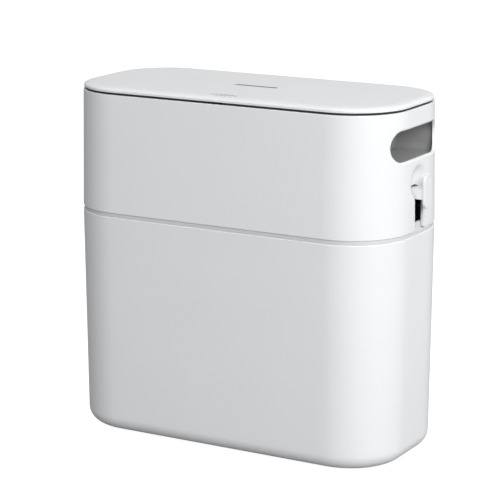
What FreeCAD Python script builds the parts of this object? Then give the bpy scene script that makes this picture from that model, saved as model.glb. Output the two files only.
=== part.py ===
"""Hand-operated kitchen waste compactor: a narrow bucket, a lift-off housing with a hinged lid, and two
knobs that drive a pair of press flaps.  Millimetres, +Z up, origin on the floor under the middle, front
towards -Y, knobs at both ends along X."""

import FreeCAD, Part
import math
import os

V = FreeCAD.Vector
X_AXIS = V(1, 0, 0)
Y_AXIS = V(0, 1, 0)
Z_AXIS = V(0, 0, 1)

# ---- overall size ----
body_width = 350.0        # outer width at the housing's top edge
body_depth = 161.0        # outer depth at the housing's top edge
corner_radius = 58.0      # plan corner radius at the housing's top edge
bucket_top = 222.9        # height of the bucket's rim
seam_gap = 4.2            # height of the bag ring's visible band
housing_height = 116.8    # lower edge to top edge of the housing
seam_flare = 2.0          # each side, the housing is wider at its lower edge
bucket_draft = 2.35       # each side, the bucket is narrower at its base
wall = 2.5                # shell thickness
base_radius = 15.0        # rounding between the bucket's side and its base
lip_radius = 0.7          # rounding of the shells' outer edges

# ---- feet ----
foot_height = 1.5
foot_radius = 8.0
foot_socket = 1.2         # how far a foot sits in the base
foot_inset_x = 52.0
foot_inset_y = 30.0

# ---- bag ring ----
ring_inset = 1.2          # the visible band lies this far behind the shells
ring_clearance = 0.7      # between the ring's collars and the shell walls
ring_thickness = 2.4
skirt_depth = 14.0
collar_height = 6.8

# ---- lid ----
lid_gap = 2.4             # shadow gap between the housing and the lid
lid_inset = 0.6
lid_edge = 1.6            # height of the lid's upright edge
lid_crown = 2.8           # how much the lid rises over its rounded margin
lid_margin = 11.0
lid_steps = 7             # sections along the rounded margin
liner_thickness = 1.6
liner_inset = 9.5
plug_depth = 9.0          # how far the liner's rim reaches into the throat
plug_clearance = 2.4
plug_wall = 2.0

# ---- marks on the lid ----
mark_pitch = 4.4
mark_width = 1.9
mark_lengths = (4.5, 8.0, 10.5, 12.0, 10.5, 8.0, 4.5)
mark_from_edge = 17.5
mark_depth = 0.4
plate_length = 43.0
plate_height = 5.6
latch_nick_inner = 1.5    # the two nicks over the latch, measured from the middle
latch_nick_outer = 6.0
latch_nick_depth = 1.1

# ---- handle pockets ----
grip_half_width = 47.0
grip_height = 29.4
grip_centre_below_top = 32.6
grip_rim = 2.3            # rounding of the opening's outer edge
pocket_depth = 48.0
pocket_margin = 3.5       # the pocket is this much larger than the opening
pocket_wall = 2.0
pocket_corner = 7.0

# ---- inner frame ----
deck_thickness = 3.0
deck_clearance = 0.5
ledge_width = 2.6
ledge_height = 3.0
throat_half_width = 120.0
throat_half_depth = 66.0
throat_corner = 3.5
throat_wall = 2.5
throat_above_ring = 1.0   # from the top of the ring's collar to the throat's lower edge

# ---- press drive ----
gear_module = 2.0
pinion_teeth = 14
pressure_angle = math.radians(25.0)
backlash = 0.25           # taken off each tooth's thickness
addendum = 1.9
dedendum = 2.6
pinion_width = 8.0
pinion_gap = 3.5          # from the throat's end wall to the pinion
press_travel = 22.0
shaft_radius = 3.0
shaft_half_depth = 56.0   # the shafts lie this far in front of and behind the middle
shaft_above_seam = 20.5
running_fit = 0.08        # radial clearance of a shaft or rod in its bore
bush_radius = 4.5
bush_flange = 6.0
bush_flange_width = 0.8
boss_radius = 7.5
boss_width = 2.0
flap_thickness = 3.0
flap_barrel_radius = 5.5
flap_end_clearance = 0.7
flap_meeting_gap = 1.0    # each flap stops this far from the middle
flap_rib_height = 3.5
flap_rib_width = 2.0
flap_ribs = 7
clip_radius = 5.0
clip_width = 0.8

# ---- carriage and knob ----
knob_height = 33.0
knob_width = 15.6
knob_plate = 2.2
knob_rim = 0.8            # rounding of the knob's outer edge
knob_reach = 11.0         # outer face of the knob, measured from the housing's top edge
knob_above_stem = 2.2     # the knob's centre above the stem's centre
stem_height = 9.5
stem_width = 14.0
slot_width = 18.5
slot_corner = 4.5         # rounding of the slot's upper and lower corners
stem_top_clearance = 2.2
stem_stop_clearance = 1.9
crossbar_height = 11.0
rack_back = 5.5
rod_radius = 2.5
rod_half_spacing = 20.0
lug_thickness = 4.0
lug_width = 14.0
lug_below_rod = 2.0
lap_length = 15.0
spring_wire = 0.45        # radius
spring_radius = 3.7       # to the wire's centre
spring_turns = 5
lap_behind_wall = 9.0     # how far inside the end wall the knob's joint with its carriage ends

# ---- finger dish behind each knob ----
dish_radius = 17.0        # of the dish's opening in the end wall
dish_depth = 7.0
dish_rim = 6.0            # rounding between the dish and the wall
dish_above_knob = 8.0     # its centre above the knob's centre

# ---- latch ----
latch_half_width = 13.0
latch_height = 31.0
latch_ear = 7.0
plunger_half_width = 3.5
plunger_half_depth = 2.4
plunger_height = 15.0
plunger_clearance = 0.2
striker_half_width = 2.4
striker_half_depth = 1.8
latch_spring_radius = 1.7
latch_spring_wire = 0.25

# ---- hinge ----
hinge_barrel = 2.5
hinge_pin_radius = 1.25
hinge_spacing = 75.0      # from the middle to each hinge
hinge_half_width = 20.0
hinge_from_back = 1.5     # pin's centre in front of the housing's back
hinge_above_deck = 1.6
ear_width = 5.0
knuckle_width = 8.0
hinge_plate_drop = 17.0
bracket_thickness = 2.4
bracket_screw_reach = 1.8 # how far the bracket's screws go into the back wall

# ---- screws ----
screw_radius = 1.5
screw_head_radius = 2.9
screw_head_height = 1.8
screw_cross = 0.7         # half width of the driver slot

# ---- worked out from the above ----
housing_bottom = bucket_top + seam_gap
housing_top = housing_bottom + housing_height
half_depth = body_depth / 2
half_width = body_width / 2
collar_top = housing_bottom + collar_height
throat_bottom = collar_top + throat_above_ring
deck_bottom = housing_top - deck_thickness
pitch_radius = gear_module * pinion_teeth / 2
tooth_pitch = math.pi * gear_module
shaft_height = housing_bottom + shaft_above_seam
stem_bottom = collar_top + stem_stop_clearance + press_travel
stem_top = stem_bottom + stem_height
slot_top = stem_top + stem_top_clearance
rack_line = shaft_half_depth - pitch_radius
throat_outer_x = throat_half_width + throat_wall
throat_outer_y = throat_half_depth + throat_wall
rack_x0 = throat_outer_x + pinion_gap
rack_x1 = rack_x0 + pinion_width
grip_centre = housing_top - grip_centre_below_top
hinge_y = half_depth - hinge_from_back
hinge_z = housing_top + hinge_above_deck
lid_bottom = housing_top + lid_gap
flap_length = shaft_half_depth - flap_meeting_gap


# ---- building blocks ----

def box(x0, x1, y0, y1, z0, z1):
    """A block between two corners."""
    return Part.makeBox(x1 - x0, y1 - y0, z1 - z0, V(x0, y0, z0))


def rod(radius, start, end):
    """A round bar from one point to another."""
    along = end - start
    return Part.makeCylinder(radius, along.Length, start, along)


def outline(width, depth, radius, z):
    """A rectangle with rounded corners, as a wire at height z."""
    a, b, r = width / 2, depth / 2, radius
    k = r * (1 - math.sqrt(0.5))
    edges = []
    corners = ((a, -b, 1, -1), (a, b, 1, 1), (-a, b, -1, 1), (-a, -b, -1, -1))
    ends = []
    for x, y, sx, sy in corners:
        side = V(x, y - sy * r, z)
        face = V(x - sx * r, y, z)
        middle = V(x - sx * k, y - sy * k, z)
        first, last = (face, side) if sx * sy < 0 else (side, face)
        ends.append((first, middle, last))
    for index, (first, middle, last) in enumerate(ends):
        edges.append(Part.Arc(first, middle, last).toShape())
        following = ends[(index + 1) % len(ends)][0]
        edges.append(Part.LineSegment(last, following).toShape())
    return Part.Wire(edges)


def prism(width, depth, radius, z0, z1):
    """An upright block with rounded corners."""
    face = Part.Face(outline(width, depth, radius, z0))
    return face.extrude(V(0, 0, z1 - z0))


def band(width, depth, radius, z0, z1, thickness):
    """An upright ring with rounded corners."""
    inner = prism(width - 2 * thickness, depth - 2 * thickness, radius - thickness, z0, z1)
    return prism(width, depth, radius, z0, z1).cut(inner)


def body_outline(z, inset, at=None):
    """The body's outline at height z, moved inwards; at gives the height whose size is used."""
    level = z if at is None else at
    if level >= housing_bottom:
        grow = seam_flare * (housing_top - level) / housing_height
    elif level <= bucket_top:
        grow = seam_flare - bucket_draft * (bucket_top - level) / (bucket_top - foot_height)
    else:
        grow = seam_flare
    shift = grow - inset
    return outline(body_width + 2 * shift, body_depth + 2 * shift, corner_radius + shift, z)


def body_block(z0, z1, inset):
    """The solid space inside the body's outline between two heights."""
    low = max(z0, foot_height)
    high = min(z1, housing_top)
    return Part.makeLoft([body_outline(z0, inset, low), body_outline(z1, inset, high)], True, True)


def body_band(z0, z1, inset, thickness):
    """A ring that follows the body's outline at the seam."""
    shift = seam_flare - inset
    return band(body_width + 2 * shift, body_depth + 2 * shift, corner_radius + shift, z0, z1, thickness)


def top_band(z0, z1, inset, thickness):
    """A ring that follows the housing's outline at its top edge."""
    return band(body_width - 2 * inset, body_depth - 2 * inset, corner_radius - inset, z0, z1, thickness)


def other_end(shape):
    """The same piece at the -X end."""
    return shape.mirror(V(0, 0, 0), X_AXIS)


def other_side(shape):
    """The same piece on the other side of the middle, front to back."""
    return shape.mirror(V(0, 0, 0), Y_AXIS)


def both_ends(shape):
    return [shape, other_end(shape)]


def four_ways(shape):
    return both_ends(shape) + both_ends(other_side(shape))


def join(first, *others):
    """The pieces fused into one."""
    return first.fuse(list(others)).removeSplitter()


def stadium_x(half_length, height, centre_z, x0, x1):
    """A block along X whose section is a slot shape lying along Y."""
    r = height / 2
    flat = half_length - r
    middle = box(x0, x1, -flat, flat, centre_z - r, centre_z + r)
    ends = [rod(r, V(x0, y, centre_z), V(x1, y, centre_z)) for y in (-flat, flat)]
    return join(middle, *ends)


def spring(radius, wire, turns, z0, z1, x, y):
    """An upright coil spring that stands between two heights."""
    height = z1 - z0 - 2 * wire
    helix = Part.makeHelix(height / turns, height, radius)
    section = Part.Wire(Part.makeCircle(wire, V(radius, 0, 0), Y_AXIS))
    coil = Part.Wire(helix.Edges).makePipeShell([section], True, True)
    coil.translate(V(x, y, z0 + wire))
    return coil


def screw(tip, head):
    """A pan-head screw; its head's seat is at head and its tip at tip."""
    out = (head - tip).normalize()
    top = head + out * screw_head_height
    body = join(rod(screw_radius, tip, head), rod(screw_head_radius, head, top))
    across = out.cross(V(0.3, 0.5, 0.8)).normalize()
    second = out.cross(across)
    for direction in (across, second):
        slot = Part.makeBox(2 * screw_cross, screw_cross, 2 * screw_head_height)
        turn = FreeCAD.Rotation(direction, out.cross(direction), out, "XYZ")
        corner = top - out * (screw_head_height / 2)
        corner = corner - direction * screw_cross - out.cross(direction) * (screw_cross / 2)
        slot.Placement = FreeCAD.Placement(corner, turn)
        body = body.cut(slot)
    return body


def save(name, *solids):
    """Writes one node, as one or more separate solids."""
    found = [s for shape in solids for s in shape.Solids]
    shape = found[0] if len(found) == 1 else Part.makeCompound(found)
    shape.exportStep(os.path.join("parts", name + ".step"))


# ---- bucket and bag ring ----

def foot_places():
    """Where the feet stand: the rear right one, which the others mirror."""
    return half_width - foot_inset_x, half_depth - foot_inset_y


def round_edges_at(block, level, radius):
    """Rounds a block's edges that lie flat at one height."""
    edges = [e for e in block.Edges if abs(e.BoundBox.ZMin - level) < 0.01
             and abs(e.BoundBox.ZMax - level) < 0.01]
    return block.makeFillet(radius, edges)


def make_bucket():
    outside = round_edges_at(body_block(foot_height, bucket_top, 0), foot_height, base_radius)
    outside = round_edges_at(outside, bucket_top, lip_radius)
    floor = foot_height + wall + foot_socket
    inside = body_block(floor, bucket_top + 1, wall)
    inside = round_edges_at(inside, floor, base_radius - wall)
    bucket = outside.cut(inside)
    x, y = foot_places()
    socket = rod(foot_radius + running_fit, V(x, y, 0), V(x, y, foot_height + foot_socket))
    return bucket.cut(four_ways(socket))


def make_feet():
    x, y = foot_places()
    foot = rod(foot_radius, V(x, y, 0), V(x, y, foot_height + foot_socket))
    rim = [e for e in foot.Edges if e.BoundBox.ZMax < 0.01]
    return four_ways(foot.makeFillet(0.6, rim))


def make_bag_ring():
    inner = wall + ring_clearance + ring_thickness
    flange = body_band(bucket_top, housing_bottom, ring_inset, inner - ring_inset)
    lower = bucket_top - skirt_depth
    skirt = body_band(lower, bucket_top, wall + ring_clearance, ring_thickness)
    collar = body_band(housing_bottom, collar_top, wall + ring_clearance, ring_thickness)
    return join(flange, skirt, collar)


# ---- upper housing ----

def corner_boss_place():
    """Centre of the rear right boss that takes a frame screw."""
    reach = corner_radius - 10.0
    angle = math.radians(52.0)
    centre_x = half_width - corner_radius
    centre_y = half_depth - corner_radius
    return centre_x + reach * math.cos(angle), centre_y + reach * math.sin(angle)


def make_boss():
    x, y = corner_boss_place()
    boss = rod(4.0, V(x, y, deck_bottom - 20), V(x, y, deck_bottom))
    rib = Part.makeBox(9.0, 2.0, 18.0, V(0, -1.0, 0))
    rib.rotate(V(0, 0, 0), Z_AXIS, 52.0)
    rib.translate(V(x, y, deck_bottom - 20))
    return join(boss, rib)


def make_housing():
    outside = body_block(housing_bottom, housing_top, 0)
    for level in (housing_bottom, housing_top):
        outside = round_edges_at(outside, level, lip_radius)
    shell = outside.cut(body_block(housing_bottom, housing_top, wall))
    ledge = top_band(deck_bottom - ledge_height, deck_bottom, wall - 0.3, ledge_width)
    reach = latch_half_width + latch_ear + 2
    ledge = ledge.cut(box(-reach, reach, -half_depth, 0, deck_bottom - ledge_height, deck_bottom))
    shell = join(shell, ledge, *four_ways(make_boss()))
    x, y = corner_boss_place()
    pilot = rod(screw_radius, V(x, y, deck_bottom - 12), V(x, y, deck_bottom + 1))
    shell = shell.cut(four_ways(pilot))

    shell = sink_dishes(shell)
    far = half_width + 10
    near = half_width - 2 * wall - dish_depth
    grip = stadium_x(grip_half_width, grip_height, grip_centre, half_width - 40, far)
    shell = shell.cut(both_ends(make_slot(near, far)) + both_ends(grip))
    shell = shell.makeFillet(grip_rim, [e for e in shell.Edges if is_grip_rim(e)])
    nick = box(latch_nick_inner, latch_nick_outer, -half_depth - 1, -half_depth + wall * 0.6,
               housing_top - latch_nick_depth, housing_top + 1)
    shell = shell.cut(both_ends(nick))
    for x in (-hinge_spacing, hinge_spacing):
        notch = box(x - hinge_half_width, x + hinge_half_width, half_depth - wall - 4, half_depth + 3,
                    housing_top - 6, housing_top + 1)
        shell = shell.cut(notch)
        for seat in bracket_screws(x):
            tip = seat + Y_AXIS * (bracket_thickness + bracket_screw_reach)
            shell = shell.cut(rod(screw_radius, seat, tip))
    return shell


def dish_ball(extra):
    """The ball whose cap is the hollow behind the knob at the +X end; extra enlarges it."""
    curve = (dish_radius ** 2 + dish_depth ** 2) / (2 * dish_depth)
    face = half_width + seam_flare * (housing_top - dish_centre()) / housing_height
    return Part.makeSphere(curve + extra, V(face - dish_depth + curve, 0, dish_centre()))


def dish_centre():
    return knob_centre() + dish_above_knob


def sink_dishes(shell):
    """Hollows the end walls behind the knobs for a finger, with the wall's thickness kept behind."""
    backing = dish_ball(wall).common(body_block(housing_bottom, housing_top, wall / 2))
    shell = join(shell, *both_ends(backing)).cut(both_ends(dish_ball(0)))
    return shell.makeFillet(dish_rim, [e for e in shell.Edges if is_dish_rim(e)])


def is_dish_rim(edge):
    b = edge.BoundBox
    reach = dish_radius + 1
    beside = max(abs(b.YMin), abs(b.YMax)) < reach
    level = max(dish_centre() - b.ZMin, b.ZMax - dish_centre()) < reach
    return beside and level and min(abs(b.XMin), abs(b.XMax)) > half_width - 0.5


def make_slot(x0, x1):
    """The space a knob's stem slides in: round corners at the top, rounded lips at the open lower end."""
    half, r = slot_width / 2, slot_corner
    slot = box(x0, x1, -half, half, housing_bottom - 1, slot_top)
    slot = slot.makeFillet(r, [e for e in edges_along_x(slot) if e.BoundBox.ZMin > slot_top - 1])
    lip = box(x0, x1, half, half + r, housing_bottom - 1, housing_bottom + r)
    lip = lip.cut(rod(r, V(x0, half + r, housing_bottom + r), V(x1, half + r, housing_bottom + r)))
    return join(slot, lip, other_side(lip))


def is_grip_rim(edge):
    """True for the outer edges of a grip opening."""
    b = edge.BoundBox
    reach = grip_height / 2 + 0.1
    inside = b.ZMin > grip_centre - reach and b.ZMax < grip_centre + reach
    at_end = min(abs(b.XMin), abs(b.XMax)) > half_width - corner_radius and b.XMin * b.XMax > 0
    middle = edge.valueAt((edge.FirstParameter + edge.LastParameter) / 2)
    return inside and at_end and outside_gap(middle) < 0.2


def outside_gap(point):
    """How far a point at an end lies inside the body's outer surface."""
    shift = seam_flare * (housing_top - point.z) / housing_height
    radius = corner_radius + shift
    dx = abs(point.x) - (half_width - corner_radius)
    dy = max(abs(point.y) - (half_depth - corner_radius), 0)
    return abs(radius - math.hypot(dx, dy)) if dy else abs(half_width + shift - abs(point.x))


# ---- inner frame: deck, throat and bearings ----

def make_inner_frame():
    inset = wall + deck_clearance
    deck = prism(body_width - 2 * inset, body_depth - 2 * inset, corner_radius - inset,
                 deck_bottom, housing_top)
    throat = prism(2 * throat_outer_x, 2 * throat_outer_y, throat_corner + throat_wall,
                   throat_bottom, deck_bottom)
    frame = join(deck, throat)
    bosses = []
    for y in (-shaft_half_depth, shaft_half_depth):
        start = V(throat_outer_x - 0.5, y, shaft_height)
        bosses.append(rod(boss_radius, start, start + V(boss_width + 0.5, 0, 0)))
    lugs = []
    for y in (-rod_half_spacing, rod_half_spacing):
        for z in lug_levels():
            lugs.append(box(throat_outer_x - 0.5, rack_x1 + 1, y - lug_width / 2, y + lug_width / 2,
                            z, z + lug_thickness))
    posts = [rod(3.5, V(*post, deck_bottom - post_length()), V(*post, deck_bottom + 0.5))
             for post in pocket_posts()]
    for piece in bosses + lugs + posts:
        frame = frame.fuse(both_ends(piece))
    frame = frame.removeSplitter()

    well = prism(2 * throat_half_width, 2 * throat_half_depth, throat_corner,
                 throat_bottom - 1, housing_top + 1)
    frame = frame.cut(well)
    holes = []
    for y in (-shaft_half_depth, shaft_half_depth):
        start = V(throat_half_width - 1, y, shaft_height)
        holes.append(rod(bush_radius, start, start + V(10, 0, 0)))
    for y in (-rod_half_spacing, rod_half_spacing):
        low, high = lug_levels()
        x = (rack_x0 + rack_x1) / 2
        holes.append(rod(rod_radius, V(x, y, low - 1), V(x, y, high + lug_thickness + 1)))
    for post in pocket_posts():
        low = deck_bottom - post_length() - 1
        holes.append(rod(screw_radius, V(*post, low), V(*post, low + 7)))
    x, y = corner_boss_place()
    for side in (-y, y):
        holes.append(rod(screw_radius + 0.2, V(x, side, deck_bottom - 1), V(x, side, housing_top + 1)))
        seat = V(x, side, frame_screw_seat())
        holes.append(rod(screw_head_radius + 0.3, seat, V(x, side, housing_top + 1)))
    for hole in holes:
        frame = frame.cut(both_ends(hole))
    latch_y = latch_centre()
    window = box(-6, 6, latch_y - 3.2, latch_y + 3.2, deck_bottom - 1, housing_top + 1)
    frame = frame.cut(window)
    for x in latch_screw_places():
        frame = frame.cut(rod(screw_radius, V(x, latch_y, deck_bottom - 1), V(x, latch_y, housing_top + 1)))
    for x in (-hinge_spacing, hinge_spacing):
        reach = hinge_half_width + 1
        frame = frame.cut(box(x - reach, x + reach, throat_outer_y + 1.5, half_depth,
                              deck_bottom - 1, housing_top + 1))
    return frame


def frame_screw_seat():
    return housing_top - screw_head_height - 0.1


def lug_levels():
    """Heights of the undersides of the lower and the upper rod lugs."""
    return throat_bottom + 1, crossbar_top() + 0.5


def crossbar_bottom():
    return stem_top + stem_top_clearance + 1


def crossbar_top():
    return crossbar_bottom() + crossbar_height


def make_gasket():
    ring = top_band(housing_top, lid_bottom - 0.15, wall + 0.9, 3.0)
    gap = box(-8, 8, -half_depth - 1, 0, housing_top - 1, lid_bottom)
    ring = ring.cut(gap)
    for x in (-hinge_spacing, hinge_spacing):
        reach = hinge_half_width + 1
        ring = ring.cut(box(x - reach, x + reach, 0, half_depth, housing_top - 1, lid_bottom))
    return ring


def make_bushes():
    bushes = []
    for y in (-shaft_half_depth, shaft_half_depth):
        inner = throat_half_width - bush_flange_width
        start = V(inner, y, shaft_height)
        seat = V(throat_half_width, y, shaft_height)
        end = V(throat_outer_x + boss_width + 0.4, y, shaft_height)
        bush = join(rod(bush_flange, start, seat), rod(bush_radius, seat, end))
        bush = bush.cut(rod(shaft_radius + running_fit, start - X_AXIS, end + X_AXIS))
        bushes += both_ends(bush)
    return bushes


def make_guide_rods():
    low, high = lug_levels()
    x = (rack_x0 + rack_x1) / 2
    rods = []
    for y in (-rod_half_spacing, rod_half_spacing):
        bar = rod(rod_radius, V(x, y, low - lug_below_rod), V(x, y, high + lug_thickness + lug_below_rod))
        rods += both_ends(bar)
    return rods


def make_return_springs():
    low = lug_levels()[0] + lug_thickness + 0.05
    x = (rack_x0 + rack_x1) / 2
    return [spring(spring_radius, spring_wire, spring_turns, low, crossbar_bottom() - 0.05, x, y)
            for y in (-rod_half_spacing, rod_half_spacing)]


# ---- handle pockets ----

def pocket_back():
    return half_width - pocket_depth - pocket_wall


def pocket_posts():
    """Where the two screws of a handle pocket stand."""
    x = pocket_back() + 9
    y = grip_half_width + pocket_margin + pocket_wall + 4.5
    return [(x, y), (x, -y)]


def post_length():
    return deck_bottom - pocket_ceiling()


def pocket_ceiling():
    """Top of the pocket's ears, which meet the posts under the deck."""
    return grip_centre + grip_height / 2 + pocket_margin


def make_handle_pocket():
    half = grip_half_width + pocket_margin
    low = grip_centre - grip_height / 2 - pocket_margin + 1
    high = pocket_ceiling()
    back = pocket_back()
    outer = box(back, half_width, -half - pocket_wall, half + pocket_wall,
                low - pocket_wall, high + pocket_wall)
    inner = box(back + pocket_wall, half_width + 5, -half, half, low, high)
    outer = outer.makeFillet(pocket_corner + pocket_wall, edges_along_x(outer))
    inner = inner.makeFillet(pocket_corner, edges_along_x(inner))
    ears = []
    for x, y in pocket_posts():
        ear = join(rod(4.5, V(x, y, high - 2.5), V(x, y, high)),
                   box(x - 4.5, x + 4.5, min(y, half * y / abs(y)), max(y, half * y / abs(y)),
                       high - 2.5, high))
        ears.append(ear)
    cup = join(outer, *ears).cut(inner)
    for x, y in pocket_posts():
        cup = cup.cut(rod(screw_radius + 0.2, V(x, y, high - 4), V(x, y, high + 1)))
    space = body_block(housing_bottom, housing_top, wall + 0.15)
    return cup.common(space)


def edges_along_x(block):
    return [e for e in block.Edges if e.BoundBox.XLength > 5 and e.BoundBox.YLength < 0.01
            and e.BoundBox.ZLength < 0.01]


# ---- latch ----

def latch_centre():
    """Y of the latch: midway between the throat and the housing's front wall."""
    return -(throat_outer_y + half_depth - wall) / 2


def latch_screw_places():
    reach = latch_half_width + latch_ear / 2
    return (-reach, reach)


def make_latch_body():
    y = latch_centre()
    half = (half_depth - wall - throat_outer_y) / 2 - 0.5
    top = deck_bottom
    bottom = top - latch_height
    body = box(-latch_half_width, latch_half_width, y - half, y + half, bottom, top)
    reach = latch_half_width + latch_ear
    ears = box(-reach, reach, y - half, y + half, top - 2.5, top)
    body = join(body, ears)
    cx = plunger_half_width + plunger_clearance
    cy = plunger_half_depth + plunger_clearance
    body = body.cut(box(-cx, cx, y - cy, y + cy, bottom + 2, top + 1))
    for x in latch_screw_places():
        body = body.cut(rod(screw_radius + 0.2, V(x, y, top - 4), V(x, y, top + 1)))
    return body


def plunger_top():
    return deck_bottom - 0.6


def make_plunger():
    y = latch_centre()
    top = plunger_top()
    body = box(-plunger_half_width, plunger_half_width, y - plunger_half_depth, y + plunger_half_depth,
               top - plunger_height, top)
    pocket = box(-striker_half_width - 0.3, striker_half_width + 0.3, y - 1.2, y + 1.2, top - 1.5, top + 1)
    return body.cut(pocket)


def make_latch_spring():
    bottom = deck_bottom - latch_height + 2
    return spring(latch_spring_radius, latch_spring_wire, 7, bottom + 0.05,
                  plunger_top() - plunger_height - 0.05, 0, latch_centre())


def make_striker():
    y = latch_centre()
    low = plunger_top() + 0.4
    post = box(-striker_half_width, striker_half_width, y - striker_half_depth, y + striker_half_depth,
               low, lid_bottom)
    pad = box(-5, 5, y - striker_half_depth, y + striker_half_depth, lid_bottom - 1.2, lid_bottom)
    nick = box(-striker_half_width - 1, striker_half_width + 1, y - 0.4, y + striker_half_depth + 1,
               low + 0.9, low + 1.9)
    return join(post, pad).cut(nick)


# ---- lid and hinges ----

def lid_shape():
    """The lid's solid: an upright edge, then a margin rounded like a quarter of an ellipse."""
    edge_top = lid_bottom + lid_edge
    rim = prism(body_width - 2 * lid_inset, body_depth - 2 * lid_inset, corner_radius - lid_inset,
                lid_bottom, edge_top)
    sections = []
    for step in range(lid_steps + 1):
        angle = math.pi / 2 * step / lid_steps
        inset = lid_inset + lid_margin * (1 - math.cos(angle))
        sections.append(outline(body_width - 2 * inset, body_depth - 2 * inset, corner_radius - inset,
                                edge_top + lid_crown * math.sin(angle)))
    return join(rim, Part.makeLoft(sections, True, False))


def make_lid_panel():
    edge_top = lid_bottom + lid_edge
    panel = lid_shape()
    top = edge_top + lid_crown
    centre = (len(mark_lengths) - 1) / 2
    y = -half_depth + mark_from_edge
    for index, length in enumerate(mark_lengths):
        x = (index - centre) * mark_pitch
        panel = panel.cut(groove(x, x, y - length / 2, y + length / 2, mark_width, top - mark_depth))
    half = plate_length / 2
    panel = panel.cut(groove(-half, half, 0, 0, plate_height, top - mark_depth))
    for x in (-hinge_spacing, hinge_spacing):
        panel = panel.cut(hinge_recess(x))
    for x, y in liner_screw_places():
        panel = panel.cut(rod(screw_radius, V(x, y, lid_bottom - 1), V(x, y, lid_bottom + 2)))
    return panel


def groove(x0, x1, y0, y1, width, floor):
    """A shallow groove with round ends, open at the top."""
    r = width / 2
    top = floor + 3
    ends = [rod(r, V(x0, y0, floor), V(x0, y0, top)), rod(r, V(x1, y1, floor), V(x1, y1, top))]
    if x1 > x0:
        return join(box(x0, x1, y0 - r, y0 + r, floor, top), *ends)
    return join(box(x0 - r, x0 + r, y0, y1, floor, top), *ends)


def hinge_recess(x):
    """The space at the lid's back edge that a hinge needs."""
    reach = hinge_half_width + 0.6
    return box(x - reach, x + reach, hinge_y - 4.0, half_depth + 2, lid_bottom - 5, lid_bottom + 8)


def liner_screw_places():
    x = throat_half_width - 14
    y = throat_half_depth - 16
    return [(x, y), (x, -y), (-x, y), (-x, -y)]


def make_lid_liner():
    top = lid_bottom
    low = top - liner_thickness
    inset = liner_inset
    plate = prism(body_width - 2 * inset, body_depth - 2 * inset, corner_radius - inset, low, top)
    gap = plug_clearance
    plug = band(2 * (throat_half_width - gap), 2 * (throat_half_depth - gap), throat_corner,
                low - plug_depth, low, plug_wall)
    liner = join(plate, plug)
    for x in (-hinge_spacing, hinge_spacing):
        liner = join(liner, *knuckles(x))
    for x in (-hinge_spacing, hinge_spacing):
        bore = rod(hinge_pin_radius + running_fit, V(x - 25, hinge_y, hinge_z), V(x + 25, hinge_y, hinge_z))
        liner = liner.cut(bore)
    for x, y in liner_screw_places():
        liner = liner.cut(rod(screw_radius + 0.2, V(x, y, low - 1), V(x, y, top + 1)))
    return liner


def knuckles(x):
    """The two barrels of one hinge that belong to the lid, with the arms that carry them."""
    pieces = []
    for side in (-1, 1):
        outer = x + side * (hinge_half_width - ear_width - 0.7)
        inner = outer - side * knuckle_width
        x0, x1 = min(outer, inner), max(outer, inner)
        barrel = rod(hinge_barrel, V(x0, hinge_y, hinge_z), V(x1, hinge_y, hinge_z))
        front = half_depth - liner_inset - 2
        arm = box(x0, x1, front, hinge_y, lid_bottom - liner_thickness, lid_bottom)
        pieces += [barrel, arm]
    return pieces


def make_hinge_bracket(x):
    """A bracket inside the back wall, with two ears that carry the pin."""
    half = hinge_half_width - 0.4
    inner = half_depth - wall
    plate_top = housing_top - 1.2
    plate = box(x - half, x + half, inner - bracket_thickness, inner,
                housing_top - hinge_plate_drop, plate_top)
    filler = box(x - half, x + half, inner - 0.5, half_depth - 0.4, housing_top - 5.7, plate_top)
    pieces = [plate, filler]
    for side in (-1, 1):
        outer = x + side * half
        inside = outer - side * ear_width
        x0, x1 = min(outer, inside), max(outer, inside)
        barrel = rod(hinge_barrel, V(x0, hinge_y, hinge_z), V(x1, hinge_y, hinge_z))
        web = box(x0, x1, hinge_y - 2.2, half_depth - 0.4, plate_top - 1, hinge_z)
        pieces += [barrel, web]
    bracket = join(*pieces)
    bracket = bracket.cut(rod(hinge_pin_radius, V(x - 30, hinge_y, hinge_z), V(x + 30, hinge_y, hinge_z)))
    for place in bracket_screws(x):
        bracket = bracket.cut(rod(screw_radius + 0.2, place - Y_AXIS * 5, place + Y_AXIS * 5))
    return bracket


def bracket_screws(x):
    """Seats of the two screws that hold a hinge bracket to the back wall."""
    y = half_depth - wall - bracket_thickness
    z = housing_top - hinge_plate_drop + 5
    return [V(x - 11, y, z), V(x + 11, y, z)]


def make_hinge_pins():
    reach = hinge_half_width - 0.2
    return [rod(hinge_pin_radius, V(x - reach, hinge_y, hinge_z), V(x + reach, hinge_y, hinge_z))
            for x in (-hinge_spacing, hinge_spacing)]


def make_lid_springs():
    """The coil around each hinge pin, with a leg that rests on the bracket."""
    found = []
    inner_half = hinge_half_width - ear_width - 0.7 - knuckle_width - 0.4
    for x in (-hinge_spacing, hinge_spacing):
        coil = spring(1.75, 0.3, 12, -inner_half, inner_half, 0, 0)
        coil.rotate(V(0, 0, 0), Y_AXIS, 90)
        coil.translate(V(x, hinge_y, hinge_z))
        found.append(coil)
    return found


# ---- press flaps ----

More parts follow.
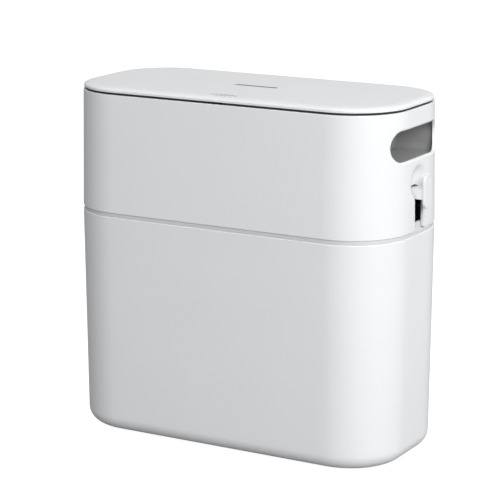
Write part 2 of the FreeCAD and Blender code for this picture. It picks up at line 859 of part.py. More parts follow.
def make_flap():
    """The rear flap, upright: a ribbed panel on a barrel that grips the shaft."""
    half = throat_half_width - bush_flange_width - flap_end_clearance
    y, z = shaft_half_depth, shaft_height
    barrel = rod(flap_barrel_radius, V(-half, y, z), V(half, y, z))
    panel = box(-half, half, y - flap_thickness / 2, y + flap_thickness / 2, z, z + flap_length)
    tip = rod(flap_thickness / 2 + 0.6, V(-half, y, z + flap_length - 2.2), V(half, y, z + flap_length - 2.2))
    ribs = []
    for index in range(flap_ribs):
        x = -half + flap_rib_width / 2 + index * (2 * half - flap_rib_width) / (flap_ribs - 1)
        ribs.append(box(x - flap_rib_width / 2, x + flap_rib_width / 2, y, y + flap_thickness / 2
                        + flap_rib_height, z, z + flap_length - 4))
    flap = join(barrel, panel, tip, *ribs)
    bore = rod(shaft_radius, V(-half - 1, y, z), V(half + 1, y, z))
    return flap.cut(bore)


def make_shaft():
    y, z = shaft_half_depth, shaft_height
    reach = rack_x1 + clip_width + 1.2
    return rod(shaft_radius, V(-reach, y, z), V(reach, y, z))


def pinion_section():
    """Corner points of a spur gear around the origin, in the plane across its axis: involute flanks,
    with a tooth space on the line towards -Y."""
    base = pitch_radius * math.cos(pressure_angle)
    tip = pitch_radius + addendum
    root = pitch_radius - dedendum
    half_tooth = (math.pi * gear_module / 2 - backlash) / (2 * pitch_radius)
    at_pitch = math.tan(pressure_angle) - pressure_angle
    flank = []
    steps = 5
    for index in range(steps):
        radius = base + (tip - base) * index / (steps - 1)
        slant = math.acos(min(1.0, base / radius))
        flank.append((radius, half_tooth + at_pitch - math.tan(slant) + slant))
    flank.insert(0, (root, flank[0][1]))
    points = []
    for tooth in range(pinion_teeth):
        centre = -math.pi / 2 + (tooth + 0.5) * 2 * math.pi / pinion_teeth
        for radius, angle in flank:
            points.append((radius * math.cos(centre - angle), radius * math.sin(centre - angle)))
        for radius, angle in reversed(flank):
            points.append((radius * math.cos(centre + angle), radius * math.sin(centre + angle)))
    return points


def make_pinion():
    """The rear pinion at the +X end."""
    y, z = shaft_half_depth, shaft_height
    points = [V(rack_x0, y + b, z + a) for a, b in pinion_section()]
    gear = Part.Face(Part.makePolygon(points + points[:1])).extrude(V(pinion_width, 0, 0))
    hub = rod(boss_radius - 1, V(rack_x0 - 0.6, y, z), V(rack_x1, y, z))
    return join(gear, hub).cut(rod(shaft_radius, V(rack_x0 - 2, y, z), V(rack_x1 + 2, y, z)))


def make_clips():
    """Retaining rings at both ends of the rear shaft."""
    y, z = shaft_half_depth, shaft_height
    start = V(rack_x1 + 0.2, y, z)
    clip = rod(clip_radius, start, start + X_AXIS * clip_width)
    clip = clip.cut(rod(shaft_radius, start - X_AXIS, start + X_AXIS * 3))
    mouth = box(start.x - 1, start.x + 3, y - 1.6, y + 1.6, z - 8, z)
    return both_ends(clip.cut(mouth))


# ---- carriage and knob ----

def rack_section():
    """Corner points (y, z) of the rear rack: straight-sided teeth that face +Y."""
    half_tooth = (tooth_pitch / 2 - backlash) / 2
    slope = math.tan(pressure_angle)
    tip = rack_line + addendum
    root = rack_line - dedendum
    first = -1
    last = math.ceil(press_travel / tooth_pitch) + 1
    points = [(root - rack_back, shaft_height + first * tooth_pitch - tooth_pitch / 2)]
    points.append((root, points[0][1]))
    for index in range(first, last + 1):
        z = shaft_height + index * tooth_pitch
        wide = half_tooth + dedendum * slope
        narrow = half_tooth - addendum * slope
        points += [(root, z - wide), (tip, z - narrow), (tip, z + narrow), (root, z + wide)]
    top = shaft_height + last * tooth_pitch + tooth_pitch / 2
    points += [(root, top), (root - rack_back, top)]
    return points


def make_carriage():
    """The yoke at the +X end: two racks, a crossbar on the guide rods, and an arm to the knob."""
    points = [V(rack_x0, y, z) for y, z in rack_section()]
    rack = Part.Face(Part.makePolygon(points + points[:1])).extrude(V(pinion_width, 0, 0))
    reach = rack_line - dedendum
    crossbar = box(rack_x0, rack_x1, -reach, reach, crossbar_bottom(), crossbar_top())
    half = stem_width / 2
    block = box(rack_x0, rack_x1, -half, half, stem_bottom, crossbar_top())
    lap = lap_start()
    arm = box(rack_x0, lap, -half, half, stem_bottom, stem_top)
    tongue = box(lap - 1, lap + lap_length, -half, half, stem_middle() + 0.05, stem_top)
    web = box(rack_x1 - 1, lap - 4, -1.5, 1.5, stem_top - 0.5, crossbar_bottom() + 3)
    carriage = join(rack, other_side(rack), crossbar, block, arm, tongue, web)
    x = (rack_x0 + rack_x1) / 2
    for y in (-rod_half_spacing, rod_half_spacing):
        hole = rod(rod_radius + running_fit, V(x, y, crossbar_bottom() - 1), V(x, y, crossbar_top() + 1))
        carriage = carriage.cut(hole)
    pilot = rod(screw_radius, V(knob_screw_x(), 0, stem_middle() - 1), V(knob_screw_x(), 0, stem_top - 1))
    return carriage.cut(pilot)


def knob_centre():
    return stem_middle() + knob_above_stem


def stem_middle():
    return (stem_bottom + stem_top) / 2


def lap_start():
    """Where the knob's tongue starts to lie under the carriage's arm."""
    return half_width - wall - lap_behind_wall - lap_length


def knob_screw_x():
    return lap_start() + lap_length / 2


def make_knob():
    half = stem_width / 2
    face = half_width + knob_reach
    centre = knob_centre()
    r = knob_width / 2
    flat = knob_height / 2 - r
    back = face - knob_plate
    plate = box(back, face, -r, r, centre - flat, centre + flat)
    caps = [rod(r, V(back, 0, centre + s * flat), V(face, 0, centre + s * flat)) for s in (-1, 1)]
    plate = join(plate, *caps)
    rim = [e for e in plate.Edges if e.BoundBox.XMin > face - 0.01]
    plate = plate.makeFillet(knob_rim, rim)
    lap_end = lap_start() + lap_length + 0.1
    stem = box(lap_end, back + 0.5, -half, half, stem_bottom, stem_top)
    tongue = box(lap_start() + 0.1, lap_end + 1, -half, half, stem_bottom, stem_middle() - 0.05)
    knob = join(plate, stem, tongue)
    x = knob_screw_x()
    hole = rod(screw_radius + 0.2, V(x, 0, stem_bottom - 1), V(x, 0, stem_middle() + 1))
    well_top = V(x, 0, stem_bottom + screw_head_height + 0.2)
    well = rod(screw_head_radius + 0.4, V(x, 0, stem_bottom - 1), well_top)
    return knob.cut(hole).cut(well)


def make_knob_screw():
    x = knob_screw_x()
    seat = V(x, 0, stem_bottom + screw_head_height + 0.2)
    return screw(seat + Z_AXIS * 4.5, seat)


# ---- fasteners ----

def make_frame_screws():
    x, y = corner_boss_place()
    return four_ways(screw(V(x, y, deck_bottom - 10), V(x, y, frame_screw_seat())))


def make_pocket_screws():
    found = []
    for x, y in pocket_posts():
        seat = V(x, y, pocket_ceiling() - 2.5)
        found += both_ends(screw(seat + Z_AXIS * 7, seat))
    return found


def make_latch_screws():
    y = latch_centre()
    seat = deck_bottom - 2.5
    return [screw(V(x, y, housing_top - 0.4), V(x, y, seat)) for x in latch_screw_places()]


def make_bracket_screws():
    seats = [s for x in (-hinge_spacing, hinge_spacing) for s in bracket_screws(x)]
    return [screw(seat + Y_AXIS * (bracket_thickness + bracket_screw_reach), seat) for seat in seats]


def make_liner_screws():
    low = lid_bottom - liner_thickness
    return [screw(V(x, y, lid_bottom + 1.8), V(x, y, low)) for x, y in liner_screw_places()]


def main():
    os.makedirs("parts", exist_ok=True)
    save("bucket", make_bucket())
    save("rubber_feet", *make_feet())
    save("bag_ring", make_bag_ring())
    save("upper_housing", make_housing())
    save("inner_frame", make_inner_frame())
    save("lid_gasket", make_gasket())
    pocket = make_handle_pocket()
    save("handle_pocket_right", pocket)
    save("handle_pocket_left", other_end(pocket))
    save("latch_body", make_latch_body())
    save("latch_plunger", make_plunger())
    save("latch_spring", make_latch_spring())
    save("lid_striker", make_striker())
    save("lid_panel", make_lid_panel())
    save("lid_liner", make_lid_liner())
    save("hinge_brackets", *[make_hinge_bracket(x) for x in (-hinge_spacing, hinge_spacing)])
    save("hinge_pins", *make_hinge_pins())
    save("lid_springs", *make_lid_springs())
    save("shaft_bushes", *make_bushes())
    save("guide_rods", *make_guide_rods())
    springs = make_return_springs()
    save("return_springs_right", *springs)
    save("return_springs_left", *[other_end(s) for s in springs])
    flap, shaft, pinion, clips = make_flap(), make_shaft(), make_pinion(), make_clips()
    save("rear_press_flap", flap)
    save("front_press_flap", other_side(flap))
    save("rear_shaft", shaft)
    save("front_shaft", other_side(shaft))
    save("rear_pinion_right", pinion)
    save("rear_pinion_left", other_end(pinion))
    save("front_pinion_right", other_side(pinion))
    save("front_pinion_left", other_side(other_end(pinion)))
    save("rear_shaft_clips", *clips)
    save("front_shaft_clips", *[other_side(c) for c in clips])
    carriage, knob, knob_screw = make_carriage(), make_knob(), make_knob_screw()
    save("carriage_right", carriage)
    save("carriage_left", other_end(carriage))
    save("knob_right", knob)
    save("knob_left", other_end(knob))
    save("knob_screw_right", knob_screw)
    save("knob_screw_left", other_end(knob_screw))
    save("frame_screws", *make_frame_screws())
    save("pocket_screws", *make_pocket_screws())
    save("latch_screws", *make_latch_screws())
    save("bracket_screws", *make_bracket_screws())
    save("liner_screws", *make_liner_screws())


main()
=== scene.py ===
import bpy
import math
import numpy as np
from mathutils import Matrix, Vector


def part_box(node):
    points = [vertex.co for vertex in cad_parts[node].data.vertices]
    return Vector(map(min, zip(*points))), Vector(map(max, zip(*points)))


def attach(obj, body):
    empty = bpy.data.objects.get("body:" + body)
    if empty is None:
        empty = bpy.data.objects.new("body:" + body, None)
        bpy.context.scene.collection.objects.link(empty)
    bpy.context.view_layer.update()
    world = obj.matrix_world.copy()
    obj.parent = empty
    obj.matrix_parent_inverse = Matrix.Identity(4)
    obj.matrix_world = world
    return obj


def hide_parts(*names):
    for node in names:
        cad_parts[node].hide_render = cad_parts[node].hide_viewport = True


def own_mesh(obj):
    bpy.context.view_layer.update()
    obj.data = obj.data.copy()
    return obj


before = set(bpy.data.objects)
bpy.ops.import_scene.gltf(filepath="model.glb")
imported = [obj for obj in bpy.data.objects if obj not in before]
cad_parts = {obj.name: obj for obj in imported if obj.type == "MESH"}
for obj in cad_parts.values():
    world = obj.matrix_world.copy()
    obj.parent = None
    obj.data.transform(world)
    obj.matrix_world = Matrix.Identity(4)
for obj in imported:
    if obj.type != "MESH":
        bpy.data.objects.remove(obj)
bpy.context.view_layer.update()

MM = 0.001
X_AXIS = np.array((1.0, 0.0, 0.0))
Z_AXIS = np.array((0.0, 0.0, 1.0))

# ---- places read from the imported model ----
bucket_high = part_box("bucket")[1]
ring_low, ring_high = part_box("bag_ring")
housing_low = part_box("upper_housing")[0]
lid_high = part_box("lid_panel")[1]
gasket_low, gasket_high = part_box("lid_gasket")
pin_low, pin_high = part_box("hinge_pins")

# ---- sizes of the shells ----
RIM_RADIUS = 60 * MM          # plan corner radius at the bucket's rim
DRAFT = 2.35 * MM             # each side, the bucket is narrower at its base
BASE_RADIUS = 15 * MM
LIP = 0.7 * MM
WALL = 2.5 * MM
FLOOR = 3.7 * MM
BASE = 1.5 * MM               # height of the bucket's underside
RING_INSET = 3.2 * MM         # the ring's collars lie this far behind the bucket's face
RING_THICKNESS = 2.4 * MM
ROD_HALF_SPACING = 20 * MM    # each return spring stands this far from the middle
HINGE_SPACING = 75 * MM
MARK_REACH = 40 * MM          # the lid's marks lie this near the middle in X
MARK_FRONT = -72 * MM         # and behind this line
LATCH_GAP = 8 * MM            # half of the seal's gap at the latch
HINGE_GAP = 21 * MM           # half of the seal's gap at each hinge

CORNER_X = bucket_high.x - RIM_RADIUS
CORNER_Y = bucket_high.y - RIM_RADIUS


# ---- meshes from arrays ----

def enclosed_volume(points, faces):
    """Signed volume: a sixth of the sum, over the fan triangles of each face, of the triple product of
    their corners."""
    a, b, c, d = (points[faces[:, k]] for k in range(4))
    first = np.einsum("ij,ij->i", a, np.cross(b, c))
    second = np.einsum("ij,ij->i", a, np.cross(c, d))
    return (first.sum() + second.sum()) / 6


def piece_from(name, points, quads, caps=()):
    """A closed mesh from an array of points, four-cornered faces and the loops of its end caps, turned so
    that its faces point outwards."""
    middle = points.mean(axis=0)
    if enclosed_volume(points - middle, quads) < 0:
        quads = quads[:, ::-1]
        caps = [cap[::-1] for cap in caps]
    mesh = bpy.data.meshes.new(name)
    mesh.from_pydata(points, [], [*quads.tolist(), *[list(cap) for cap in caps]])
    mesh.shade_smooth()
    mesh.set_sharp_from_angle(angle=math.radians(40))
    piece = bpy.data.objects.new(name, mesh)
    bpy.context.scene.collection.objects.link(piece)
    return piece


def grid_faces(rows, columns, start=0, wrap_rows=False, wrap_columns=True):
    """Faces between neighbouring rows and columns of a grid of points."""
    r = np.arange(rows if wrap_rows else rows - 1)
    c = np.arange(columns if wrap_columns else columns - 1)
    i, j = np.meshgrid(r, c, indexing="ij")
    k, m = (i + 1) % rows, (j + 1) % columns
    faces = np.stack([i * columns + j, i * columns + m, k * columns + m, k * columns + j], axis=-1)
    return start + faces.reshape(-1, 4)


def body_loop(corner_steps=28, side_steps=10):
    """The way round the body in plan, as spine points and outward directions. At a corner the spine point
    stays on the corner's centre while the direction turns through 90 degrees; along a side the direction
    stays and the spine point slides to the next corner's centre."""
    spine, out = [], []
    signs = ((1, 1), (-1, 1), (-1, -1), (1, -1))
    for k, (sx, sy) in enumerate(signs):
        turn = math.pi / 2 * (k + np.linspace(0, 1, corner_steps))
        here = np.array((sx * CORNER_X, sy * CORNER_Y))
        after = np.array(signs[(k + 1) % 4]) * (CORNER_X, CORNER_Y)
        spine.append(np.repeat(here[None, :], corner_steps, axis=0))
        out.append(np.stack([np.cos(turn), np.sin(turn)], axis=1))
        share = np.linspace(0, 1, side_steps + 2)[1:-1, None]
        spine.append(here + share * (after - here))
        out.append(np.repeat(out[-1][-1:], side_steps, axis=0))
    return np.concatenate(spine), np.concatenate(out)


def carried_round(name, reach, height, closed):
    """A profile carried round the body: point = spine + reach times outward direction, at the profile's
    height. A closed profile makes a ring, and an open one is capped flat at both ends."""
    spine, out = body_loop()
    plan = spine[None, :, :] + reach[:, None, None] * out[None, :, :]
    levels = np.broadcast_to(height[:, None, None], (*plan.shape[:2], 1))
    points = np.concatenate([plan, levels], axis=2).reshape(-1, 3)
    rows, columns = plan.shape[:2]
    faces = grid_faces(rows, columns, wrap_rows=closed)
    caps = [] if closed else [range(columns)[::-1], range((rows - 1) * columns, rows * columns)]
    return piece_from(name, points, faces, caps)


def rounded_corner(reach, height, radius, start, steps=7):
    """A quarter circle of the profile about a centre, from a starting angle in degrees, turning left."""
    turn = np.radians(np.linspace(start, start + 90, steps))
    return reach + radius * np.cos(turn), height + radius * np.sin(turn)


def rounded_profile(corners, radius):
    """A closed profile through the given corners, each rounded by an arc of the given radius. The arc at a
    corner goes from the point a radius before it to the point a radius after it: the middle of the
    quadratic curve that has the corner as its control point."""
    p = np.array(corners)
    before = np.roll(p, 1, axis=0) - p
    after = np.roll(p, -1, axis=0) - p
    a = p + before / np.linalg.norm(before, axis=1)[:, None] * radius
    b = p + after / np.linalg.norm(after, axis=1)[:, None] * radius
    t = np.linspace(0, 1, 6)[None, :, None]
    curve = (1 - t) ** 2 * a[:, None] + 2 * t * (1 - t) * p[:, None] + t ** 2 * b[:, None]
    flat = curve.reshape(-1, 2)
    return flat[:, 0], flat[:, 1]


def round_wire(name, lines, radius, across, sides=10):
    """Round wire along one or more centre lines. Its section turns about the tangent: point = centre +
    radius (cos v side + sin v rise), with side = tangent x across axis and rise = side x tangent."""
    points, faces, caps = [], [], []
    start = 0
    v = np.linspace(0, 2 * math.pi, sides, endpoint=False)
    for line in lines:
        tangent = np.gradient(line, axis=0)
        tangent /= np.linalg.norm(tangent, axis=1)[:, None]
        side = np.cross(tangent, across)
        side /= np.linalg.norm(side, axis=1)[:, None]
        rise = np.cross(side, tangent)
        ring = line[:, None] + radius * (np.cos(v)[None, :, None] * side[:, None]
                                         + np.sin(v)[None, :, None] * rise[:, None])
        points.append(ring.reshape(-1, 3))
        faces.append(grid_faces(len(line), sides, start))
        last = start + (len(line) - 1) * sides
        caps += [range(start, start + sides)[::-1], range(last, last + sides)]
        start += len(line) * sides
    return piece_from(name, np.concatenate(points), np.concatenate(faces), caps)


def coil_line(x, y, low, high, radius, wire, turns):
    """Centre line of an upright spring with closed ends: the first and last turn rise by one wire's
    thickness, and the turns between rise evenly."""
    turn = np.linspace(0, turns, turns * 28)
    lift = np.interp(turn, (0, 1, turns - 1, turns),
                     (low + wire, low + 3 * wire, high - 3 * wire, high - wire))
    angle = 2 * math.pi * turn
    return np.stack([x + radius * np.cos(angle), y + radius * np.sin(angle), lift], axis=1)


# ---- the new pieces ----

def make_bucket_shell():
    """The bucket: outside wall, base rounded like a quarter circle, inside wall and floor, in one profile."""
    top = bucket_high.z

    def wall_reach(z):
        """How far the outside wall stands from the corner's centre at a height."""
        return RIM_RADIUS - DRAFT * (top - z) / (top - BASE)

    turn = np.linspace(0, math.pi / 2, 14)
    r = BASE_RADIUS
    bend = wall_reach(BASE + r) - r
    base_reach, base_height = bend + r * np.sin(turn), BASE + r - r * np.cos(turn)
    rise = np.linspace(BASE + r + 0.004, top - LIP - 0.0004, 9)
    lip_out = rounded_corner(RIM_RADIUS - LIP, top - LIP, LIP, 0)
    lip_in = rounded_corner(RIM_RADIUS - WALL + 0.3 * MM, top - 0.3 * MM, 0.3 * MM, 90)
    fall = rise[::-1]
    q = r - WALL
    inner_bend = wall_reach(BASE + FLOOR + q) - WALL - q
    inner_reach, inner_height = inner_bend + q * np.cos(turn), BASE + FLOOR + q - q * np.sin(turn)
    reach = np.concatenate([[bend - 3 * MM], base_reach, wall_reach(rise), lip_out[0], lip_in[0],
                            wall_reach(fall) - WALL, inner_reach, [inner_bend - 3 * MM]])
    height = np.concatenate([[BASE], base_height, rise, lip_out[1], lip_in[1],
                             fall, inner_height, [BASE + FLOOR]])
    return carried_round("bucket_shell", reach, height, closed=False)


def make_ring_moulding():
    """The bag ring: a crowned bead that shows at the seam, a skirt inside the bucket and a collar inside the
    housing, as one rounded profile."""
    skirt, collar = ring_low.z, ring_high.z
    low, high = bucket_high.z + 0.05 * MM, housing_low.z - 0.05 * MM
    face = ring_high.x - CORNER_X
    outer = RIM_RADIUS - RING_INSET
    inner = outer - RING_THICKNESS
    middle = (low + high) / 2
    corners = [(inner, skirt), (outer - 0.5 * MM, skirt), (outer, skirt + 3 * MM), (outer, low),
               (face - 0.3 * MM, low), (face, middle - 0.9 * MM), (face, middle + 0.9 * MM),
               (face - 0.3 * MM, high), (outer, high), (outer, collar - 2 * MM),
               (outer - 0.5 * MM, collar), (inner, collar), (inner, high), (inner, low)]
    reach, height = rounded_profile(corners, 0.28 * MM)
    return carried_round("bag_ring_moulding", reach, height, closed=True)


def make_gasket_strips():
    """The lid's seal: a bulb, whose section is a rounded box (a superellipse), carried along
    the three stretches of the body's outline that the latch and the hinges leave free."""
    spine, out = body_loop(corner_steps=90, side_steps=600)
    reach = gasket_high.x - CORNER_X - 1.5 * MM
    plan = spine + reach * out
    spread = np.abs(np.abs(plan[:, 0]) - HINGE_SPACING)
    free = np.where(plan[:, 1] < 0, np.abs(plan[:, 0]) > LATCH_GAP, spread > HINGE_GAP)
    first = int(np.argmax(~free))
    free, plan, out = (np.roll(a, -first, axis=0) for a in (free, plan, out))
    cuts = np.flatnonzero(np.diff(free.astype(int))) + 1
    v = np.linspace(0, 2 * math.pi, 20, endpoint=False)
    across = 1.45 * MM * np.sign(np.cos(v)) * np.abs(np.cos(v)) ** 0.6
    half = (gasket_high.z - gasket_low.z) / 2
    up = gasket_low.z + half + half * np.sign(np.sin(v)) * np.abs(np.sin(v)) ** 0.75
    points, faces, caps, start = [], [], [], 0
    for stretch in np.split(np.arange(len(free)), cuts):
        if not free[stretch[0]] or len(stretch) < 3:
            continue
        chosen = stretch[np.unique(np.linspace(0, len(stretch) - 1, 160).astype(int))]
        flat = plan[chosen][:, None] + across[None, :, None] * out[chosen][:, None]
        tall = np.broadcast_to(up[None, :, None], (*flat.shape[:2], 1))
        points.append(np.concatenate([flat, tall], axis=2).reshape(-1, 3))
        faces.append(grid_faces(len(chosen), len(v), start))
        last = start + (len(chosen) - 1) * len(v)
        caps += [range(start, start + len(v))[::-1], range(last, last + len(v))]
        start += len(chosen) * len(v)
    return piece_from("lid_seal", np.concatenate(points), np.concatenate(faces), caps)


def make_return_coils(side, node):
    """The two springs under one carriage, which shorten as it goes down."""
    low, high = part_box(node)
    x = (low.x + high.x) / 2
    wire = 0.45 * MM
    lines = [coil_line(x, y, low.z, high.z, 3.7 * MM, wire, 7)
             for y in (-ROD_HALF_SPACING, ROD_HALF_SPACING)]
    piece = round_wire("return_coils_" + side, lines, wire, Z_AXIS)
    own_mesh(piece)
    return piece


def make_latch_coil():
    """The spring under the latch's plunger, which shortens as the plunger goes in."""
    low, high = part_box("latch_spring")
    y = (low.y + high.y) / 2
    wire = 0.25 * MM
    line = coil_line(0, y, low.z, high.z, 1.7 * MM, wire, 9)
    piece = round_wire("latch_coil", [line], wire, Z_AXIS)
    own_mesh(piece)
    return piece


def make_lid_coils():
    """A coil round each hinge pin: point = pin + radius (cos a, sin a) while it moves along the pin."""
    y, z = (pin_low.y + pin_high.y) / 2, (pin_low.z + pin_high.z) / 2
    radius, turns, half_length = 1.75 * MM, 12, 5.6 * MM
    lines = []
    for middle in (-HINGE_SPACING, HINGE_SPACING):
        angle = np.linspace(math.pi / 2, math.pi / 2 + 2 * math.pi * turns, turns * 24)
        along = np.linspace(-half_length, half_length, len(angle))
        lines.append(np.stack([middle + along, y + radius * np.cos(angle), z + radius * np.sin(angle)],
                              axis=1))
    return round_wire("lid_coils", lines, 0.3 * MM, X_AXIS)


# ---- finishes ----

def start_finish(name):
    """A new material with its shader, and the place in the piece that its patterns read."""
    finish = bpy.data.materials.new(name)
    finish.use_nodes = True
    nodes, links = finish.node_tree.nodes, finish.node_tree.links
    where = nodes.new("ShaderNodeTexCoord")
    return finish, nodes, links, nodes["Principled BSDF"], where.outputs["Object"]


def noise(nodes, links, where, scale, detail=2.0, stretch=(1, 1, 1)):
    """Noise of a given scale, drawn out along the axes whose stretch is small."""
    placed = nodes.new("ShaderNodeMapping")
    placed.inputs["Scale"].default_value = stretch
    links.new(where, placed.inputs["Vector"])
    texture = nodes.new("ShaderNodeTexNoise")
    texture.inputs["Scale"].default_value = scale
    texture.inputs["Detail"].default_value = detail
    links.new(placed.outputs["Vector"], texture.inputs["Vector"])
    return texture.outputs["Fac"]


def between(nodes, links, value, low, high):
    """Spreads the middle of a noise over a range."""
    spread = nodes.new("ShaderNodeMapRange")
    spread.inputs["From Min"].default_value = 0.3
    spread.inputs["From Max"].default_value = 0.7
    spread.inputs["To Min"].default_value = low
    spread.inputs["To Max"].default_value = high
    links.new(value, spread.inputs["Value"])
    return spread.outputs["Result"]


def mottle(nodes, links, value, colour, other):
    """A colour that drifts to another one."""
    mix = nodes.new("ShaderNodeMix")
    mix.data_type = "RGBA"
    mix.inputs["A"].default_value = (*colour, 1)
    mix.inputs["B"].default_value = (*other, 1)
    links.new(value, mix.inputs["Factor"])
    return mix.outputs["Result"]


def relief(nodes, links, height, depth, below=None):
    """A fine relief of the given depth, on top of another one if it is given."""
    bump = nodes.new("ShaderNodeBump")
    bump.inputs["Distance"].default_value = depth
    bump.inputs["Strength"].default_value = 0.6
    links.new(height, bump.inputs["Height"])
    if below is not None:
        links.new(below, bump.inputs["Normal"])
    return bump.outputs["Normal"]


def moulded_plastic(name, colour, shade, roughness, grain=1900.0, depth=0.00003, tone=0.985):
    """Injection-moulded plastic: a fine spark-eroded grain, a faint long waviness from shrinking, and a
    slightly uneven colour and polish."""
    finish, nodes, links, shader, where = start_finish(name)
    cloud = noise(nodes, links, where, 14.0, 3.0)
    fine = noise(nodes, links, where, grain, 2.0)
    other = tuple(c * tone for c in colour) if shade is None else shade
    links.new(mottle(nodes, links, between(nodes, links, cloud, 0, 1), colour, other),
              shader.inputs["Base Color"])
    polish = noise(nodes, links, where, 60.0, 4.0)
    links.new(between(nodes, links, polish, roughness - 0.04, roughness + 0.05), shader.inputs["Roughness"])
    wavy = relief(nodes, links, noise(nodes, links, where, 22.0, 1.0), 0.00012)
    links.new(relief(nodes, links, fine, depth, wavy), shader.inputs["Normal"])
    shader.inputs["IOR"].default_value = 1.5
    return finish, nodes, links, shader, where


def drawn_metal(name, colour, along, roughness=0.3, lines=900.0):
    """Ground or drawn steel: fine lines that run along one direction."""
    finish, nodes, links, shader, where = start_finish(name)
    stretch = tuple(0.02 if axis == along else 1.0 for axis in "xyz")
    streaks = noise(nodes, links, where, lines, 3.0, stretch)
    cloud = noise(nodes, links, where, 120.0, 3.0)
    darker = tuple(c * 0.8 for c in colour)
    links.new(mottle(nodes, links, between(nodes, links, cloud, 0, 1), colour, darker),
              shader.inputs["Base Color"])
    links.new(between(nodes, links, streaks, roughness - 0.08, roughness + 0.12), shader.inputs["Roughness"])
    links.new(relief(nodes, links, streaks, 0.00002), shader.inputs["Normal"])
    shader.inputs["Metallic"].default_value = 1.0
    return finish


def cast_rubber(name, colour, roughness):
    """Matt rubber with a little dust and a fine grain."""
    finish, nodes, links, shader, where = start_finish(name)
    dust = noise(nodes, links, where, 90.0, 5.0)
    lighter = tuple(min(1, c * 1.9) for c in colour)
    links.new(mottle(nodes, links, between(nodes, links, dust, 0, 0.5), colour, lighter),
              shader.inputs["Base Color"])
    links.new(between(nodes, links, dust, roughness - 0.06, roughness + 0.08), shader.inputs["Roughness"])
    links.new(relief(nodes, links, noise(nodes, links, where, 1300.0, 3.0), 0.00006), shader.inputs["Normal"])
    return finish


def arithmetic(nodes, links, kind, value, limit):
    """One step of arithmetic on a value and a number or another value."""
    test = nodes.new("ShaderNodeMath")
    test.operation = kind
    links.new(value, test.inputs[0])
    if isinstance(limit, float):
        test.inputs[1].default_value = limit
    else:
        links.new(limit, test.inputs[1])
    return test.outputs["Value"]


def lid_finish(name, colour, mark):
    """The lid's plastic, with the floors of its shallow marks filled in a darker grey: a point belongs to
    a mark where it lies a little below the lid's flat top and well inside the lid's margin."""
    finish, nodes, links, shader, where = moulded_plastic(name, colour, None, 0.42)
    parts = nodes.new("ShaderNodeSeparateXYZ")
    links.new(where, parts.inputs["Vector"])
    below = arithmetic(nodes, links, "LESS_THAN", parts.outputs["Z"], lid_high.z - 0.25 * MM)
    above = arithmetic(nodes, links, "GREATER_THAN", parts.outputs["Z"], lid_high.z - 0.6 * MM)
    apart = arithmetic(nodes, links, "ABSOLUTE", parts.outputs["X"], 0.0)
    near = arithmetic(nodes, links, "LESS_THAN", apart, MARK_REACH)
    inner = arithmetic(nodes, links, "GREATER_THAN", parts.outputs["Y"], MARK_FRONT)
    both = arithmetic(nodes, links, "MULTIPLY", below, near)
    marked = arithmetic(nodes, links, "MULTIPLY", arithmetic(nodes, links, "MULTIPLY", both, inner), above)
    plain = shader.inputs["Base Color"].links[0].from_socket
    mix = nodes.new("ShaderNodeMix")
    mix.data_type = "RGBA"
    links.new(marked, mix.inputs["Factor"])
    links.new(plain, mix.inputs["A"])
    mix.inputs["B"].default_value = (*mark, 1)
    links.new(mix.outputs["Result"], shader.inputs["Base Color"])
    return finish


def dress(finish, *names):
    """Puts a finish on pieces or carried-over nodes."""
    for name in names:
        piece = bpy.data.objects[name]
        if not piece.material_slots:
            piece.data.materials.append(finish)
        for held in piece.material_slots:
            held.material = finish


# ---- build ----
bucket = make_bucket_shell()
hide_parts("bucket")
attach(bucket, "bucket")

ring = make_ring_moulding()
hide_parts("bag_ring")
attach(ring, "bag_ring")

seal = make_gasket_strips()
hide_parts("lid_gasket")
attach(seal, "housing")

springs = [(make_return_coils("right", "return_springs_right"), "return_springs_right"),
           (make_return_coils("left", "return_springs_left"), "return_springs_left"),
           (make_latch_coil(), "latch_spring"), (make_lid_coils(), "lid_springs")]
for coil, node in springs:
    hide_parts(node)
    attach(coil, "housing")

shell_white = moulded_plastic("shell_white", (0.815, 0.823, 0.838), None, 0.44)[0]
lid_white = lid_finish("lid_white", (0.80, 0.808, 0.823), (0.10, 0.10, 0.105))
ring_grey = moulded_plastic("ring_grey", (0.66, 0.665, 0.675), None, 0.46)[0]
liner_grey = moulded_plastic("liner_grey", (0.50, 0.51, 0.52), None, 0.5, 1400.0)[0]
pocket_grey = moulded_plastic("pocket_grey", (0.36, 0.362, 0.365), None, 0.5, 1500.0, 0.00004)[0]
# Near-black plastic for the inner frame, latch body, striker and carriages: partly their own dark plastic,
# partly painted shade that stands in for the shade in the lid's gap and inside the knob slots.
frame_black_painted_shade = moulded_plastic("frame_black_painted_shade", (0.018, 0.018, 0.02), (0.024, 0.024, 0.026), 0.55, 1300.0)[0]
flap_grey = moulded_plastic("flap_grey", (0.28, 0.29, 0.30), (0.24, 0.25, 0.26), 0.5, 1100.0, 0.00005)[0]
gear_nylon = moulded_plastic("gear_nylon", (0.76, 0.74, 0.68), (0.70, 0.68, 0.61), 0.4, 2400.0, 0.00002)[0]
foot_rubber = cast_rubber("foot_rubber", (0.03, 0.03, 0.032), 0.8)
seal_rubber = cast_rubber("seal_rubber", (0.05, 0.05, 0.052), 0.7)
drawn_x = drawn_metal("shaft_steel", (0.62, 0.62, 0.64), "x")
drawn_z = drawn_metal("rod_steel", (0.62, 0.62, 0.64), "z")
spring_steel = drawn_metal("spring_steel", (0.55, 0.55, 0.57), "z", 0.28, 1600.0)
screw_zinc = drawn_metal("screw_zinc", (0.60, 0.61, 0.64), "z", 0.35, 2200.0)
bracket_steel = drawn_metal("bracket_steel", (0.50, 0.51, 0.53), "x", 0.38, 1200.0)

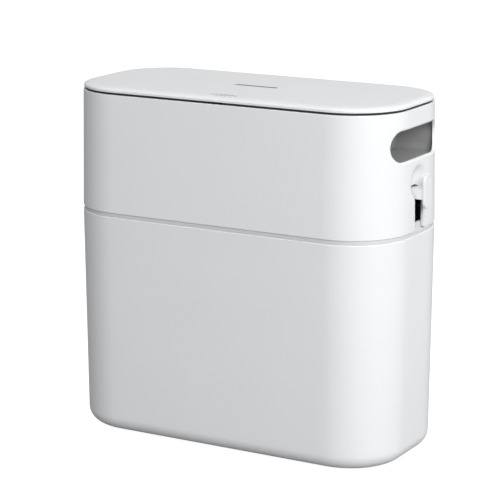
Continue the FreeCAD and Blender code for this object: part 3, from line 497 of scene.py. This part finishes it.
dress(shell_white, "bucket_shell", "upper_housing", "knob_left", "knob_right")
dress(lid_white, "lid_panel")
dress(ring_grey, "bag_ring_moulding")
dress(liner_grey, "lid_liner")
dress(pocket_grey, "handle_pocket_left", "handle_pocket_right")
# painted shade: the near-black frame and carriages darken the lid's gap and the inside of the knob slots.
dress(frame_black_painted_shade, "inner_frame", "latch_body", "lid_striker", "carriage_left", "carriage_right")
dress(flap_grey, "front_press_flap", "rear_press_flap")
dress(gear_nylon, "front_pinion_left", "front_pinion_right", "rear_pinion_left", "rear_pinion_right",
      "shaft_bushes", "latch_plunger")
dress(foot_rubber, "rubber_feet")
dress(seal_rubber, "lid_seal")
dress(drawn_x, "front_shaft", "rear_shaft", "hinge_pins", "front_shaft_clips", "rear_shaft_clips")
dress(drawn_z, "guide_rods")
dress(spring_steel, "return_coils_left", "return_coils_right", "latch_coil", "lid_coils")
dress(screw_zinc, "frame_screws", "pocket_screws", "latch_screws", "bracket_screws", "liner_screws",
      "knob_screw_left", "knob_screw_right")
dress(bracket_steel, "hinge_brackets")


# ---- studio ----

def look_at(thing, target):
    """Turns a lamp or the camera to face a point."""
    thing.rotation_euler = (target - thing.location).to_track_quat("-Z", "Y").to_euler()


def around(azimuth, elevation, distance, target):
    """A point seen from the target at an azimuth from the front towards +X, and at an elevation."""
    a, e = math.radians(azimuth), math.radians(elevation)
    return target + distance * Vector((math.sin(a) * math.cos(e), -math.cos(a) * math.cos(e), math.sin(e)))


def softbox(name, azimuth, elevation, distance, size, power):
    """A square lamp that faces the middle of the body."""
    lamp = bpy.data.lights.new(name, "AREA")
    lamp.energy = power
    lamp.shape = "SQUARE"
    lamp.size = size
    place = bpy.data.objects.new(name, lamp)
    middle = Vector((0, 0, 0.2))
    place.location = around(azimuth, elevation, distance, middle)
    bpy.context.scene.collection.objects.link(place)
    look_at(place, middle)


lens = bpy.data.cameras.new("camera")
lens.sensor_width = 36.0
lens.lens = 148.555
lens.clip_end = 100.0
camera = bpy.data.objects.new("camera", lens)
aim = Vector((-0.00674, 0.0, 0.18591))
camera.location = around(29.50, 13.32, 2.05023, aim)
bpy.context.scene.collection.objects.link(camera)
look_at(camera, aim)
bpy.context.scene.camera = camera

softbox("side_softbox", 95, 30, 2.6, 1.3, 15.5)
softbox("front_softbox", 50, 24, 2.6, 1.2, 40.5)
overhead = bpy.data.lights.new("overhead", "SUN")
overhead.energy = 0.8
overhead.angle = math.radians(60)
overhead_place = bpy.data.objects.new("overhead", overhead)
overhead_place.location = around(30, 78, 3.0, Vector((0, 0, 0)))
bpy.context.scene.collection.objects.link(overhead_place)
look_at(overhead_place, Vector((0, 0, 0)))

sky = bpy.data.worlds.new("studio")
bpy.context.scene.world = sky
sky.use_nodes = True
sky_nodes, sky_links = sky.node_tree.nodes, sky.node_tree.links
fill = sky_nodes["Background"]
fill.inputs["Color"].default_value = (0.98, 0.99, 1.0, 1)
fill.inputs["Strength"].default_value = 0.44
backdrop = sky_nodes.new("ShaderNodeBackground")
backdrop.inputs["Strength"].default_value = 1.02
seen = sky_nodes.new("ShaderNodeLightPath")
choose = sky_nodes.new("ShaderNodeMixShader")
sky_links.new(seen.outputs["Is Camera Ray"], choose.inputs["Fac"])
sky_links.new(fill.outputs["Background"], choose.inputs[1])
sky_links.new(backdrop.outputs["Background"], choose.inputs[2])
sky_links.new(choose.outputs["Shader"], sky_nodes["World Output"].inputs["Surface"])

ground = bpy.data.meshes.new("floor")
ground.from_pydata([(-8, -8, 0), (8, -8, 0), (8, 8, 0), (-8, 8, 0)], [], [(0, 1, 2, 3)])
floor = bpy.data.objects.new("floor", ground)
bpy.context.scene.collection.objects.link(floor)
paint, floor_nodes, floor_links, floor_shader = start_finish("studio_floor")[:4]
floor_shader.inputs["Base Color"].default_value = (0.3, 0.3, 0.3, 1)
floor_shader.inputs["Roughness"].default_value = 0.9
floor_shader.inputs["Specular IOR Level"].default_value = 0.1
glow = floor_nodes.new("ShaderNodeEmission")
lit = floor_nodes.new("ShaderNodeLightPath")
share = floor_nodes.new("ShaderNodeMath")
share.operation = "MULTIPLY"
share.inputs[1].default_value = 0.94
floor_links.new(lit.outputs["Is Camera Ray"], share.inputs[0])
floor_links.new(share.outputs["Value"], glow.inputs["Strength"])
both = floor_nodes.new("ShaderNodeAddShader")
floor_links.new(floor_shader.outputs["BSDF"], both.inputs[0])
floor_links.new(glow.outputs["Emission"], both.inputs[1])
floor_links.new(both.outputs["Shader"], floor_nodes["Material Output"].inputs["Surface"])
dress(paint, "floor")
bpy.context.scene.view_settings.view_transform = "Standard"
